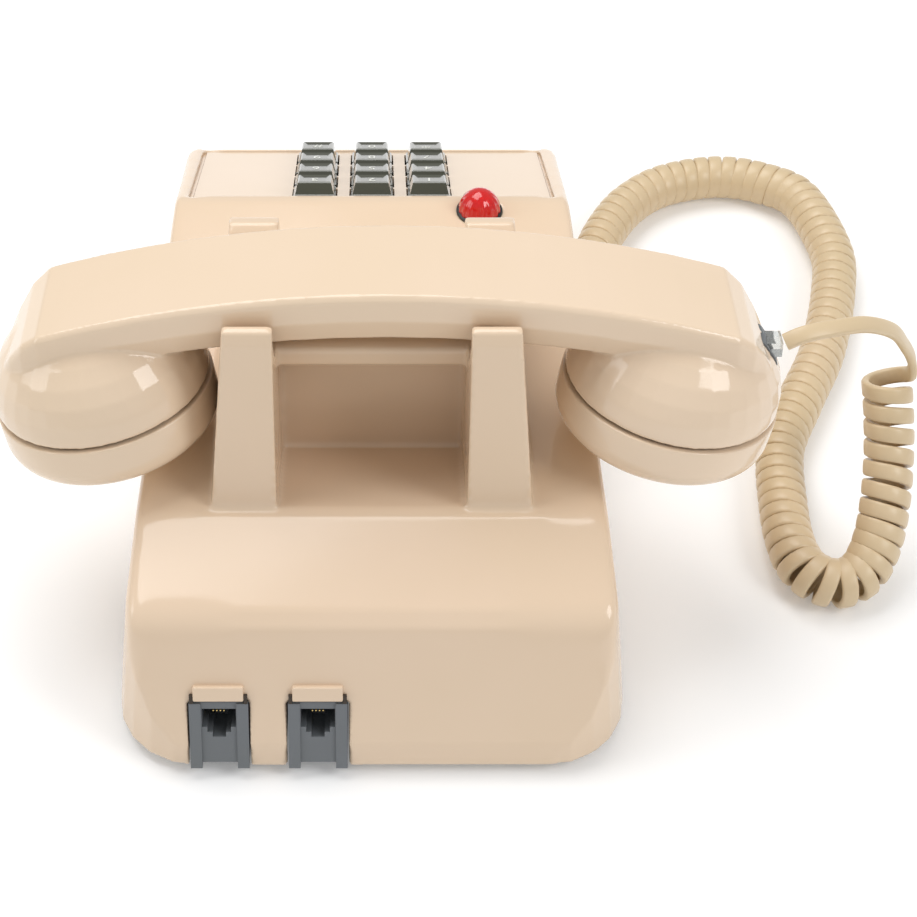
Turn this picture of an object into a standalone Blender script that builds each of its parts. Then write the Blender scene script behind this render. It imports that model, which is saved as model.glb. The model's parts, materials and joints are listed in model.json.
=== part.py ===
"""Push-button desk telephone with a handset on its cradle, a curly handset cord and rear jacks.

Built in millimetres and scaled to metres when each mesh is made. The keypad end faces -Y,
+Z is up, and the mouthpiece end of the handset, with the cord, is at -X.
"""

import math

import bmesh
import bpy
from mathutils import Vector

MM = 0.001
GAP = 0.3  # clearance between pieces that touch

# Where the base stands under the handset, whose centre is at X = 0
BASE_X, BASE_Y = 4.5, 3.85

# Housing side profile (y, z)
RIM_Z = 3.5
FRONT_Y, FRONT_Z = -122.0, 47.2
RIDGE_Y, RIDGE_Z = -52.0, 79.8
SHOULDER_Y, SHOULDER_Z = 97.5, 48.0
REAR_Y = 113.5
WING_Z = 60.0
WALL = 2.6
REAR_HALF_WIDTH, FRONT_HALF_WIDTH = 74.5, 68.5
SIDE_DRAFT = 0.10
REAR_CORNER, FRONT_CORNER = 24.0, 11.0

# Cradle tower
EAR_IN, EAR_OUT_LOW, EAR_OUT_HIGH = 27.5, 46.2, 41.8
VALLEY_Z = 96.8

# Keypad
FACE_SLOPE = math.atan2(RIDGE_Z - FRONT_Z, RIDGE_Y - FRONT_Y)
PLATE_DROP = 4.2
PLATE_WIDTH, PLATE_LENGTH, PLATE_THICK = 115.0, 69.0, 2.0
COLUMN_PITCH, ROW_PITCH = 18.5, 16.0
KEY_TOP, KEY_FLANGE, KEY_RISE = 10.7, 13.6, 5.3
KEY_NAMES = (("1", "2", "3"), ("4", "5", "6"), ("7", "8", "9"), ("star", "0", "hash"))

# Handset, in its own frame: origin at the middle of the grip's flat top
HANDSET_Y, HANDSET_Z, HANDSET_ROLL = 26.0, 121.3, math.radians(8.0)
GRIP_ARC, GRIP_HALF_WIDTH, GRIP_THICK = 345.0, 19.0, 19.5
CUP_X, CUP_Z, CUP_RADIUS, CUP_TILT = 82.5, -43.3, 32.0, math.radians(10.6)
DOME_HEIGHT, CAP_HEIGHT, CAP_WALL = 30.0, 16.2, 2.4
CAPSULE_RADIUS = 27.5

# Curly cord
COIL_RADIUS, LEAD_RADIUS = 7.8, 2.0

# Jacks
JACK_WIDTH, JACK_PITCH, JACK_BODY_TOP = 17.0, 28.3, 14.8
JACK_MIDDLE_X, JACK_Z = 29.6, 11.0
WHEEL_PLACE = (57.0, 54.0, 0.0)
REAR_LEAN = math.atan2(REAR_Y - SHOULDER_Y, SHOULDER_Z - RIM_Z)

BEIGE = (0.80, 0.63, 0.46)
TAN = (0.66, 0.50, 0.35)
KEY_GREEN = (0.10, 0.10, 0.075)
SLATE = (0.16, 0.17, 0.19)
STEEL = (0.60, 0.60, 0.58)
BRASS = (0.72, 0.52, 0.22)


def clear_scene():
    for item in list(bpy.data.objects):
        bpy.data.objects.remove(item)


def material(name, color, roughness=0.35, metallic=0.0):
    found = bpy.data.materials.get(name)
    if found:
        return found
    made = bpy.data.materials.new(name)
    made.use_nodes = True
    shader = made.node_tree.nodes["Principled BSDF"]
    shader.inputs["Base Color"].default_value = (*color, 1.0)
    shader.inputs["Roughness"].default_value = roughness
    shader.inputs["Metallic"].default_value = metallic
    return made


def solid(name, shape, look, parent=None, place=(0, 0, 0), turn=(0, 0, 0), smooth=None):
    """An object from (vertices in millimetres, faces), its faces turned outwards."""
    vertices, faces = shape
    mesh = bpy.data.meshes.new(name)
    mesh.from_pydata([Vector(v) * MM for v in vertices], [], faces)
    work = bmesh.new()
    work.from_mesh(mesh)
    bmesh.ops.recalc_face_normals(work, faces=work.faces)
    work.to_mesh(mesh)
    work.free()
    if smooth:
        mesh.shade_smooth()
        mesh.set_sharp_from_angle(angle=math.radians(smooth))
    made = bpy.data.objects.new(name, mesh)
    bpy.context.scene.collection.objects.link(made)
    made.location = Vector(place) * MM
    made.rotation_euler = turn
    made.parent = parent
    if look:
        mesh.materials.append(look)
    return made


def empty(name, place=(0, 0, 0), turn=(0, 0, 0), parent=None):
    made = bpy.data.objects.new(name, None)
    bpy.context.scene.collection.objects.link(made)
    made.location = Vector(place) * MM
    made.rotation_euler = turn
    made.parent = parent
    return made


def combine(target, operation, shape, place=(0, 0, 0), turn=(0, 0, 0)):
    """Cuts a shape from the target, or joins or intersects it, through a hidden helper."""
    name = f"{target.name}_{operation.lower()}_{len(target.modifiers)}"
    helper = solid(name, shape, None, target.parent, place, turn)
    helper.hide_render = True
    helper.display_type = "WIRE"
    step = target.modifiers.new(name, "BOOLEAN")
    step.operation = operation
    step.object = helper
    return helper


def prism(outline, low, high, axis="x"):
    """An outline pushed along an axis: (y, z) along x, (x, z) along y, or (x, y) along z."""
    put = {
        "x": lambda p, t: (t, p[0], p[1]),
        "y": lambda p, t: (p[0], t, p[1]),
        "z": lambda p, t: (p[0], p[1], t),
    }[axis]
    count = len(outline)
    vertices = [put(p, low) for p in outline] + [put(p, high) for p in outline]
    return vertices, loft_faces(2, count)


def loft_faces(rings, count):
    faces = [tuple(range(count)), tuple((rings - 1) * count + i for i in range(count))]
    for ring in range(rings - 1):
        for i in range(count):
            j = (i + 1) % count
            a, b = ring * count, (ring + 1) * count
            faces.append((a + i, a + j, b + j, b + i))
    return faces


def block(low, high):
    outline = [(low[0], low[1]), (high[0], low[1]), (high[0], high[1]), (low[0], high[1])]
    return prism(outline, low[2], high[2], "z")


def turned(profile, sides=28):
    """A profile of (radius, z) turned about z: closed on the axis, or a ring where it isn't."""
    vertices, faces, rings = [], [], []
    for radius, z in profile:
        if radius == 0:
            rings.append([len(vertices)])
            vertices.append((0, 0, z))
            continue
        rings.append(list(range(len(vertices), len(vertices) + sides)))
        for i in range(sides):
            angle = 2 * math.pi * i / sides
            vertices.append((radius * math.cos(angle), radius * math.sin(angle), z))
    on_axis = profile[0][0] == 0
    pairs = zip(rings, rings[1:] + ([] if on_axis else rings[:1]))
    for a, b in pairs:
        for i in range(sides):
            j = (i + 1) % sides
            face = [a[i % len(a)], a[j % len(a)], b[j % len(b)], b[i % len(b)]]
            faces.append(tuple(dict.fromkeys(face)))
    return vertices, faces


def disc(radius, low, high, sides=28):
    return turned([(0, high), (radius, high), (radius, low), (0, low)], sides)


def rounded_plan(front, rear, front_y, rear_y, front_corner, rear_corner, steps=5):
    """A plan outline with half-widths at the front and rear and four round corners."""
    corners = (
        (rear - rear_corner, rear_y - rear_corner, rear_corner, 0),
        (-rear + rear_corner, rear_y - rear_corner, rear_corner, 90),
        (-front + front_corner, front_y + front_corner, front_corner, 180),
        (front - front_corner, front_y + front_corner, front_corner, 270),
    )
    points = []
    for x, y, radius, start in corners:
        for i in range(steps + 1):
            angle = math.radians(start + 90 * i / steps)
            points.append((x + radius * math.cos(angle), y + radius * math.sin(angle)))
    return points


def smooth_route(points, spacing):
    """Evenly spaced points along a Catmull-Rom curve through the route."""
    points = [Vector(p) for p in points]
    ends = [points[0] * 2 - points[1], *points, points[-1] * 2 - points[-2]]
    fine = []
    for a, b, c, d in zip(ends, ends[1:], ends[2:], ends[3:]):
        for i in range(24):
            t = i / 24
            fine.append(
                0.5 * (2 * b + (c - a) * t + (2 * a - 5 * b + 4 * c - d) * t**2
                       + (3 * b - a - 3 * c + d) * t**3)
            )
    fine.append(points[-1])
    lengths = [0.0]
    for a, b in zip(fine, fine[1:]):
        lengths.append(lengths[-1] + (b - a).length)
    count = max(3, round(lengths[-1] / spacing) + 1)
    even, at = [], 0
    for i in range(count):
        target = lengths[-1] * i / (count - 1)
        while at < len(fine) - 2 and lengths[at + 1] < target:
            at += 1
        part = (target - lengths[at]) / max(lengths[at + 1] - lengths[at], 1e-9)
        even.append(fine[at].lerp(fine[at + 1], min(part, 1.0)))
    return even


def cut_route(points, step):
    """Two routes that meet face to face in the middle of one step, a gap apart."""
    a, b = points[step], points[step + 1]
    along = (b - a).normalized() * GAP / 2
    middle = (a + b) / 2
    return points[: step + 1] + [middle - along], [middle + along] + points[step + 1:]


def tube(name, points, radius, look, resolution=2):
    """A round solid along points given in the object's frame, in millimetres."""
    data = bpy.data.curves.new(name, "CURVE")
    data.dimensions = "3D"
    data.bevel_depth = radius * MM
    data.bevel_resolution = resolution
    data.use_fill_caps = True
    spline = data.splines.new("POLY")
    spline.points.add(len(points) - 1)
    for target, point in zip(spline.points, points):
        target.co = (*(point * MM), 1.0)
    data.materials.append(look)
    made = bpy.data.objects.new(name, data)
    bpy.context.scene.collection.objects.link(made)
    return made


# ---------------------------------------------------------------- housing


def body_profile(inset):
    """The housing's side outline without its cradle, moved inwards by inset."""
    rise = inset * 1.1
    return [
        (FRONT_Y + 4.0 + inset, RIM_Z - (1.0 if inset else 0.0)),
        (FRONT_Y + inset, FRONT_Z - 7.0 - inset * 0.4),
        (FRONT_Y + 1.6 + inset, FRONT_Z - 1.6 - rise),
        (FRONT_Y + 5.0 + inset * 0.5, FRONT_Z + 2.4 - rise),
        (RIDGE_Y - 2.0, RIDGE_Z - 0.9 - rise),
        (RIDGE_Y + 1.5, RIDGE_Z - inset),
        (-24.0 - inset * 0.5, RIDGE_Z - 1.0 - inset),
        (-10.0 - inset * 0.7, WING_Z + 1.0 - inset),
        (66.0, WING_Z - 1.5 - inset),
        (SHOULDER_Y - 4.0 - inset * 0.4, SHOULDER_Z + 1.3 - inset),
        (SHOULDER_Y - inset * 0.8, SHOULDER_Z - 2.0 - inset * 0.8),
        (REAR_Y - 1.0 - inset, RIM_Z + 9.0),
        (REAR_Y - inset, RIM_Z - (1.0 if inset else 0.0)),
    ]


def plan_frustum(inset, low, high):
    """The housing's plan, drafted inwards as it rises."""
    rings = []
    for z in (low, high):
        draft = SIDE_DRAFT * (z - RIM_Z) + inset
        outline = rounded_plan(
            FRONT_HALF_WIDTH - draft, REAR_HALF_WIDTH - draft,
            FRONT_Y + inset, REAR_Y - inset,
            FRONT_CORNER - min(inset, 4.0), REAR_CORNER - min(inset, 4.0),
        )
        rings += [(x, y, z) for x, y in outline]
    return rings, loft_faces(2, len(rings) // 2)


def ear(side):
    """A front prong, the valley beside it and a rear prong, tapering outside as they rise."""
    outline = [
        (-25.0, 56.0), (-25.0, RIDGE_Z - 2.0), (-12.0, 103.0), (-8.0, 108.5), (-3.5, 110.0),
        (0.0, 108.0), (2.5, 101.0), (8.0, VALLEY_Z), (39.0, VALLEY_Z), (44.0, 100.5),
        (46.6, 108.0), (47.0, 114.3), (48.6, 116.6), (51.2, 116.4), (53.0, 112.5),
        (62.6, 62.0), (64.2, 54.0),
    ]
    taper = (EAR_OUT_LOW - EAR_OUT_HIGH) / (112.0 - WING_Z)
    inner = [(side * EAR_IN, y, z) for y, z in outline]
    outer = [(side * (EAR_OUT_LOW - taper * (z - WING_Z)), y, z) for y, z in outline]
    return inner + outer, loft_faces(2, len(outline))


def add_housing(base, look):
    housing = solid("housing", prism(body_profile(0.0), -82.0, 82.0), look, base)
    combine(housing, "INTERSECT", plan_frustum(0.0, RIM_Z - 1.0, 90.0))
    cavity = combine(housing, "DIFFERENCE", prism(body_profile(WALL), -80.0, 80.0))
    trim = cavity.modifiers.new("trim", "BOOLEAN")
    trim.operation = "INTERSECT"
    trim.object = combine_free("cavity_plan", plan_frustum(WALL, RIM_Z - 2.0, 88.0), base)
    bridge = [
        (-20.0, 56.0), (-20.0, RIDGE_Z - 2.0), (-6.0, VALLEY_Z - 0.5), (34.0, VALLEY_Z),
        (36.0, VALLEY_Z - 1.0), (36.0, 89.6), (24.5, 86.8), (28.0, 56.0),
    ]
    combine(housing, "UNION", prism(bridge, -EAR_IN - 1.0, EAR_IN + 1.0))
    for side in (-1, 1):
        combine(housing, "UNION", ear(side))
    recess_floor(housing)
    tower_cavities(housing)
    keypad_opening(housing)
    jack_cutouts(housing)
    return housing


def combine_free(name, shape, parent):
    """A hidden helper that another helper's Boolean uses."""
    helper = solid(name, shape, None, parent)
    helper.hide_render = True
    helper.display_type = "WIRE"
    return helper


def recess_floor(housing):
    """The carrying recess below the handset: a sunken floor with a wall under it."""
    width = EAR_IN - 0.3
    tray = [(20.4, 44.4), (66.0, 56.0), (66.0, 57.6), (20.4, 59.2)]
    combine(housing, "UNION", prism(tray, -width - 2.0, width + 2.0))
    space = [(23.0, 86.5), (36.5, 89.6), (84.0, 89.6), (84.0, 66.0), (62.6, 58.64), (27.0, 47.6)]
    combine(housing, "DIFFERENCE", prism(space, -width, width))


def tower_cavities(housing):
    """Room inside the cradle for the hook lever and its two plungers."""
    combine(housing, "DIFFERENCE", block((-41.0, -8.0, 50.0), (41.0, 17.6, 94.0)))
    for side in (-1, 1):
        low, high = sorted((side * 30.5, side * 41.0))
        combine(housing, "DIFFERENCE", block((low, 17.0, 50.0), (high, 36.0, 94.0)))
        combine(housing, "DIFFERENCE", disc(4.0, 93.0, 100.0, 16), (side * 35.5, 24.0, 0))


def keypad_opening(housing):
    """A sloping window that the faceplate sits in, with a ledge under its edges."""
    middle_y = (FRONT_Y + RIDGE_Y) / 2
    middle_z = (FRONT_Z + RIDGE_Z) / 2
    half_x, half_y = PLATE_WIDTH / 2 + 0.5, PLATE_LENGTH / 2 + 0.5
    place, turn = (0, middle_y, middle_z), (FACE_SLOPE, 0, 0)
    window = block((-half_x, -half_y, -PLATE_DROP), (half_x, half_y, 8.0))
    combine(housing, "DIFFERENCE", window, place, turn)
    through = block((-44.0, -31.8, -9.0), (44.0, 31.8, 2.0))
    combine(housing, "DIFFERENCE", through, place, turn)


def jack_cutouts(housing):
    for x in rear_jack_places():
        half = JACK_WIDTH / 2 + 0.4
        opening = block((-half, -22.0, -9.0), (half, 8.0, JACK_BODY_TOP + 0.5))
        combine(housing, "DIFFERENCE", opening, rear_jack_place(x), (REAR_LEAN, 0, 0))
    side_opening = block((-82.0, -70.0, 0.0), (-50.0, -52.0, 27.0))
    combine(housing, "DIFFERENCE", side_opening)
    combine(housing, "DIFFERENCE", disc(6.6, RIDGE_Z - 6.0, RIDGE_Z + 3.0, 20), (-34.0, -46.0, 0))


def rear_jack_places():
    return (JACK_MIDDLE_X + JACK_PITCH / 2, JACK_MIDDLE_X - JACK_PITCH / 2)


def rear_jack_place(x):
    """Where a rear jack's mouth meets the leaning rear wall."""
    return (x, REAR_Y - (JACK_Z - RIM_Z) * math.tan(REAR_LEAN) + 1.2, JACK_Z)


def add_base(base, looks):
    plate_z = RIM_Z - 0.5
    outline = rounded_plan(64.6, 70.0, FRONT_Y + 8.0, REAR_Y - WALL - 0.6, 9.0, 21.0)
    plate = solid("base_plate", prism(outline, plate_z, plate_z + 1.6, "z"), looks["steel"], base)
    for x in rear_jack_places():
        slot = block((-JACK_WIDTH / 2 - 0.8, 88.0, 0.0), (JACK_WIDTH / 2 + 0.8, 118.0, 9.0))
        combine(plate, "DIFFERENCE", slot, (x, 0, 0))
    combine(plate, "DIFFERENCE", block((-82.0, -70.5, 0.0), (-49.5, -51.5, 9.0)))
    combine(plate, "DIFFERENCE", disc(12.0, 0.0, 9.0), WHEEL_PLACE)
    for y, name in ((-98.0, "base_screw_front"), (72.0, "base_screw_rear")):
        combine(plate, "DIFFERENCE", disc(2.4, 0.0, 9.0, 16), (0, y, 0))
        add_screw(name, (0, y, 0), base, looks["steel"])
    for x, y, name in (
        (-50.0, -100.0, "foot_front_left"), (50.0, -100.0, "foot_front_right"),
        (-52.0, 84.0, "foot_rear_left"), (56.0, 76.0, "foot_rear_right"),
    ):
        profile = [(0, plate_z - GAP), (8.0, plate_z - GAP), (7.0, 0.0), (0, 0.0)]
        solid(name, turned(profile, 20), looks["rubber"], base, (x, y, 0), smooth=40)


def add_screw(name, place, base, look):
    profile = [(0, 16.0), (1.9, 16.0), (1.9, 2.4), (4.2, 2.4), (3.8, 1.0), (0, 1.0)]
    solid(name, turned(profile, 16), look, base, place, smooth=40)


# ---------------------------------------------------------------- keypad


def key_shape():
    """A tall key: square flange, tapering shank and a shallow dished top."""
    half, top = KEY_FLANGE / 2, KEY_TOP / 2
    rows = (
        (half, half, -2.7), (half, half, 0.8), (half - 0.6, half - 0.6, 1.4),
        (top, top - 0.3, KEY_RISE - 0.4), (top - 0.5, top - 0.8, KEY_RISE),
        (top - 1.9, top - 2.2, KEY_RISE - 0.5),
    )
    vertices = []
    for x, y, z in rows:
        vertices += [(-x, -y, z), (x, -y, z), (x, y, z), (-x, y, z)]
    return vertices, loft_faces(len(rows), 4)


def add_keypad(base, looks):
    middle_y = (FRONT_Y + RIDGE_Y) / 2
    middle_z = (FRONT_Z + RIDGE_Z) / 2
    face = empty("keypad_frame_axes", (0, middle_y, middle_z), (FACE_SLOPE, 0, 0), base)
    top = -PLATE_DROP + GAP + PLATE_THICK
    half_x, half_y = PLATE_WIDTH / 2, PLATE_LENGTH / 2
    plate_shape = block((-half_x, -half_y, top - PLATE_THICK), (half_x, half_y, top))
    plate = solid("keypad_faceplate", plate_shape, looks["beige"], face)
    bezel = block((-34.0, -31.4, -8.6), (34.0, 31.4, -PLATE_DROP))
    frame = solid("keypad_module", bezel, looks["black"], face)
    board = block((-34.0, -31.0, -11.0), (34.0, 31.0, -9.0))
    solid("keypad_board", board, looks["board"], face)
    first_row = key_row_start()
    hole = KEY_FLANGE / 2 + 0.5
    for row, names in enumerate(KEY_NAMES):
        for column, name in enumerate(names):
            x = (column - 1) * COLUMN_PITCH
            y = first_row - row * ROW_PITCH
            slot = block((x - hole, y - hole, -8.0), (x + hole, y + hole, 4.0))
            combine(plate, "DIFFERENCE", slot)
            combine(frame, "DIFFERENCE", slot)
            solid(f"key_{name}", key_shape(), looks["key"], face, (x, y, top))


def key_row_start():
    """Distance up the sloping face, from its middle, of the row nearest the cradle."""
    return 25.4


# ---------------------------------------------------------------- jacks, lamp


def add_jack(name, base, look, place, turn=(0, 0, 0), rails=True):
    """A jack facing its own +Y, with a stepped socket and, at the rear, two side rails."""
    half = JACK_WIDTH / 2
    side = [(0, -5.4), (0, JACK_BODY_TOP), (-16, JACK_BODY_TOP), (-16, -0.4), (-4, -5.4)]
    body = prism(side, -half, half)
    jack = solid(name, body, look, base, place, turn)
    mouth = [
        (-4.9, 12.6), (4.9, 12.6), (4.9, 6.5), (3.4, 6.5), (3.4, 4.8), (1.9, 4.8),
        (1.9, 3.2), (-1.9, 3.2), (-1.9, 4.8), (-3.4, 4.8), (-3.4, 6.5), (-4.9, 6.5),
    ]
    combine(jack, "DIFFERENCE", prism(mouth, -12.5, 6.0, "y"), place, turn)
    if rails:
        for side in (-1, 1):
            low, high = sorted((side * (half - 3.4), side * half))
            rail = block((low, -2.0, -7.16), (high, 0.6, JACK_BODY_TOP - 0.3))
            combine(jack, "UNION", rail, place, turn)
    return jack


def add_jacks(base, looks):
    for x, name in zip(rear_jack_places(), ("data_jack", "line_jack")):
        add_jack(name, base, looks["slate"], rear_jack_place(x), (REAR_LEAN, 0, 0))
    add_jack("base_cord_jack", base, looks["slate"], (-71.8, -61.0, 10.9),
             (0, 0, math.radians(90)), rails=False)


def add_lamp(base, looks):
    lens = [(0, 8.6), (2.6, 8.2), (4.8, 6.8), (6.2, 4.6), (6.8, 1.9), (6.8, 0.6), (5.6, 0.6),
            (5.6, -4.0), (0, -4.0)]
    place = (-34.0, -46.0, RIDGE_Z - 0.4)
    solid("message_lamp_lens", turned(lens, 24), looks["red"], base, place, smooth=40)
    socket = [(0, -4.3), (5.2, -4.3), (5.2, -16.0), (0, -16.0)]
    solid("message_lamp_socket", turned(socket, 20), looks["black"], base, place, smooth=40)


# ---------------------------------------------------------------- works inside


def add_hook(base, looks):
    for side, name in ((-1, "plunger_left"), (1, "plunger_right")):
        profile = [(0, 98.0), (3.0, 98.0), (3.6, 97.3), (3.6, 87.8), (4.6, 87.8),
                   (4.6, 86.0), (0, 86.0)]
        solid(name, turned(profile, 20), looks["steel"], base, (side * 35.5, 24.0, 0), smooth=40)
    axis = (0, 0.0, 82.0)
    lever = solid("hook_lever", block((-38.0, -2.2, -1.4), (38.0, 2.2, 1.4)), looks["steel"], base,
                  axis)
    for side in (-1, 1):
        low, high = sorted((side * 33.0, side * 38.0))
        combine(lever, "UNION", block((low, -1.0, -1.2), (high, 28.0, 1.2)), axis)
    switch = block((-16.0, -7.0, 62.0), (16.0, 10.0, 79.4))
    solid("hook_switch", switch, looks["black"], base)


def add_ringer(base, looks):
    frame = block((-46.0, 12.0, 6.0), (46.0, 16.0, 30.0))
    solid("ringer_frame", frame, looks["steel"], base)
    for x, radius, name in ((-27.5, 20.0, "gong_large"), (26.0, 18.5, "gong_small")):
        gong = [
            (1.6, 0.0), (radius - 6.0, 0.0), (radius - 1.5, -3.0), (radius, -9.0),
            (radius, -13.0), (radius - 1.4, -13.0), (radius - 1.4, -9.0),
            (radius - 2.8, -4.2), (radius - 6.8, -1.4), (1.6, -1.4),
        ]
        solid(name, turned(gong, 28), looks["brass"], base, (x, 37.0, 33.0), smooth=40)
        post = disc(1.3, 5.0, 34.0, 12)
        solid(f"{name}_post", post, looks["steel"], base, (x, 37.0, 0), smooth=40)
    coil = disc(8.0, -14.0, 14.0, 20)
    solid("ringer_coil", coil, looks["copper"], base, (0, 3.0, 17.0), (0, math.pi / 2, 0), 40)
    clapper = solid("clapper", disc(1.0, 0.0, 19.0, 12), looks["steel"], base, (0, 17.0, 24.0),
                    (-math.pi / 2, 0, 0))
    combine(clapper, "UNION", disc(3.2, 15.0, 21.5, 14), (0, 17.0, 24.0), (-math.pi / 2, 0, 0))
    board = block((-50.0, -60.0, 8.0), (44.0, -14.0, 9.8))
    solid("network_board", board, looks["board"], base)
    can = block((-30.0, -52.0, 10.1), (20.0, -24.0, 30.0))
    solid("network_block", can, looks["black"], base)


def add_wheel(base, looks):
    """The ringer loudness wheel, turned by a fingertip through the opening under it."""
    solid("volume_wheel", disc(11.0, 3.4, 7.4, 24), looks["slate"], base, WHEEL_PLACE)


# ---------------------------------------------------------------- handset


def grip_section(x):
    """The grip's outline across its length at x: flat top, flared sides, round underside."""
    reach = abs(x)
    top = -(GRIP_ARC - math.sqrt(GRIP_ARC**2 - reach**2))
    end = max(0.0, (reach - 97.0) / 12.0)
    top -= 11.0 * end**2
    width = 1.0 - 0.42 * end**2
    depth = GRIP_THICK - 5.0 * end
    half = GRIP_HALF_WIDTH
    outline = [
        (-half + 0.8, 0.0), (half - 0.8, 0.0), (half + 0.4, -1.6), (half - 0.2, -8.5),
        (half - 3.6, -depth + 3.5), (half - 9.5, -depth), (-half + 9.5, -depth),
        (-half + 3.6, -depth + 3.5), (-half + 0.2, -8.5), (-half - 0.4, -1.6),
    ]
    return [(x, y * width, z + top) for y, z in outline]


def grip_shape():
    stops = (0, 14, 28, 42, 56, 70, 82, 92, 98, 103, 107, 109)
    places = [-x for x in reversed(stops[1:])] + list(stops)
    vertices = [corner for x in places for corner in grip_section(x)]
    return vertices, loft_faces(len(places), 10)


def cup_turn(side):
    return (0, side * CUP_TILT, 0)


def cup_profile():
    points = [(0, DOME_HEIGHT)]
    for i in range(1, 8):
        angle = math.radians(90 - 90 * i / 8)
        points.append((CUP_RADIUS * math.cos(angle), 1.5 + (DOME_HEIGHT - 1.5) * math.sin(angle)))
    return points + [(CUP_RADIUS, 1.5), (CUP_RADIUS, 0.0), (0, 0.0)]


def add_handset(looks):
    handset = empty("handset_frame", (0, HANDSET_Y + BASE_Y, HANDSET_Z), (HANDSET_ROLL, 0, 0))
    shell = solid("handset_shell", grip_shape(), looks["beige"], handset)
    for side in (-1, 1):
        place = (side * CUP_X, 0, CUP_Z)
        combine(shell, "UNION", turned(cup_profile(), 32), place, cup_turn(side))
    for side in (-1, 1):
        place = (side * CUP_X, 0, CUP_Z)
        combine(shell, "DIFFERENCE", disc(CUP_RADIUS - 2.6, -1.0, 9.0, 32), place, cup_turn(side))
    socket = block((-114.0, -5.2, -33.2), (-101.5, 5.2, -25.0))
    combine(shell, "DIFFERENCE", socket)
    for side, word in ((-1, "transmitter"), (1, "receiver")):
        add_cap(f"{word}_cap", handset, side, looks["beige"])
        capsule = disc(CAPSULE_RADIUS, -8.0, 7.5, 28)
        solid(f"{word}_capsule", capsule, looks["aluminium"], handset,
              (side * CUP_X, 0, CUP_Z), cup_turn(side), 40)
    add_handset_jack(handset, looks)
    return handset


def add_cap(name, handset, side, look):
    outer, inner = CUP_RADIUS + 0.2, CUP_RADIUS - CAP_WALL - 0.4
    profile = [
        (outer, -GAP), (outer, -4.8), (outer - 0.6, -9.4), (outer - 2.7, -13.4),
        (outer - 6.4, -CAP_HEIGHT), (0, -CAP_HEIGHT + 1.2),
        (0, -CAP_HEIGHT + 3.6), (outer - 8.2, -CAP_HEIGHT + 2.8), (inner - 1.6, -11.4),
        (inner, -7.0), (inner, -GAP),
    ]
    vertices, faces = turned_shell(profile, 32)
    solid(name, (vertices, faces), look, handset, (side * CUP_X, 0, CUP_Z), cup_turn(side), 40)


def turned_shell(profile, sides):
    """A turned wall whose profile meets the axis twice, in the middle of its list."""
    first = next(i for i, (radius, _) in enumerate(profile) if radius == 0)
    around = profile[first + 1:] + profile[: first + 1]
    return turned([profile[first + 1], *around[1:]], sides)


def add_handset_jack(handset, looks):
    jack = block((-112.2, -4.9, -32.9), (-101.8, 4.9, -25.3))
    made = solid("handset_jack", jack, looks["slate"], handset)
    combine(made, "DIFFERENCE", block((-116.0, -3.9, -31.6), (-104.0, 3.9, -26.2)))
    proud = [(radius + 0.1, z) for radius, z in cup_profile()[1:-1]]
    outline = [(0, DOME_HEIGHT + 0.1), *proud, (0, 0.0)]
    combine(made, "INTERSECT", turned(outline, 32), (-CUP_X, 0, CUP_Z), cup_turn(-1))


# ---------------------------------------------------------------- cord


def add_cord(handset, looks):
    plug = block((-113.4, -3.3, -31.2), (-104.4, 3.3, -26.6))
    solid("handset_plug", plug, looks["clear"], handset)
    socket_y = BASE_Y - 61.0
    plug_low = block((-73.0, socket_y - 3.3, 18.2), (-56.0, socket_y + 3.3, 22.8))
    solid("base_plug", plug_low, looks["clear"])
    tube("cord_lead_upper", smooth_route(UPPER_LEAD, 5.0), LEAD_RADIUS, looks["tan"])
    hanging, lying = cut_route(smooth_route(COIL_ROUTE, 10.0), 5)
    tube("cord_coil_hanging", hanging, COIL_RADIUS, looks["tan"], 3)
    tube("cord_coil_lying", lying, COIL_RADIUS, looks["tan"], 3)
    tube("cord_lead_lower", smooth_route(LOWER_LEAD, 5.0), LEAD_RADIUS, looks["tan"])


UPPER_LEAD = (
    (-114.6, 33.9, 93.3), (-120, 33.0, 95.6), (-129.3, 29.7, 95.0), (-140.1, 23.6, 90.8),
    (-150.4, 17.0, 82.0), (-157.0, 11.6, 70.5), (-154.0, 6.0, 56.6),
)
COIL_ROUTE = (
    (-154.3, 7.2, 54.3), (-155.5, 13.9, 44.1), (-155.8, 21.7, 34.3), (-154.7, 31.3, 25.5),
    (-152.3, 40.6, 17.0), (-148.0, 47.8, 11.0), (-142, 51.2, 8.4), (-135.5, 50.5, 8),
    (-130, 45.5, 8), (-127.2, 36, 8), (-126.8, 20, 8), (-129.2, -6, 8), (-138.9, -29.5, 8),
    (-149.8, -54, 8), (-158.1, -85, 8), (-160.2, -107, 8), (-153.3, -135, 8), (-141, -145, 8),
    (-124, -149, 8), (-104, -144, 8), (-90, -133, 8), (-80.5, -118, 8), (-74.5, -103, 8),
)
LOWER_LEAD = (
    (-73.8, -101.2, 6.0), (-73, -92, 4.5), (-77, -83, 5.5), (-85, -77, 8.5), (-91.5, -70.5, 12.5),
    (-91.5, -62.5, 16.5), (-86, -58.2, 19.2), (-80, -57.2, 20.3), (-73.4, -57.15, 20.5),
)


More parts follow.
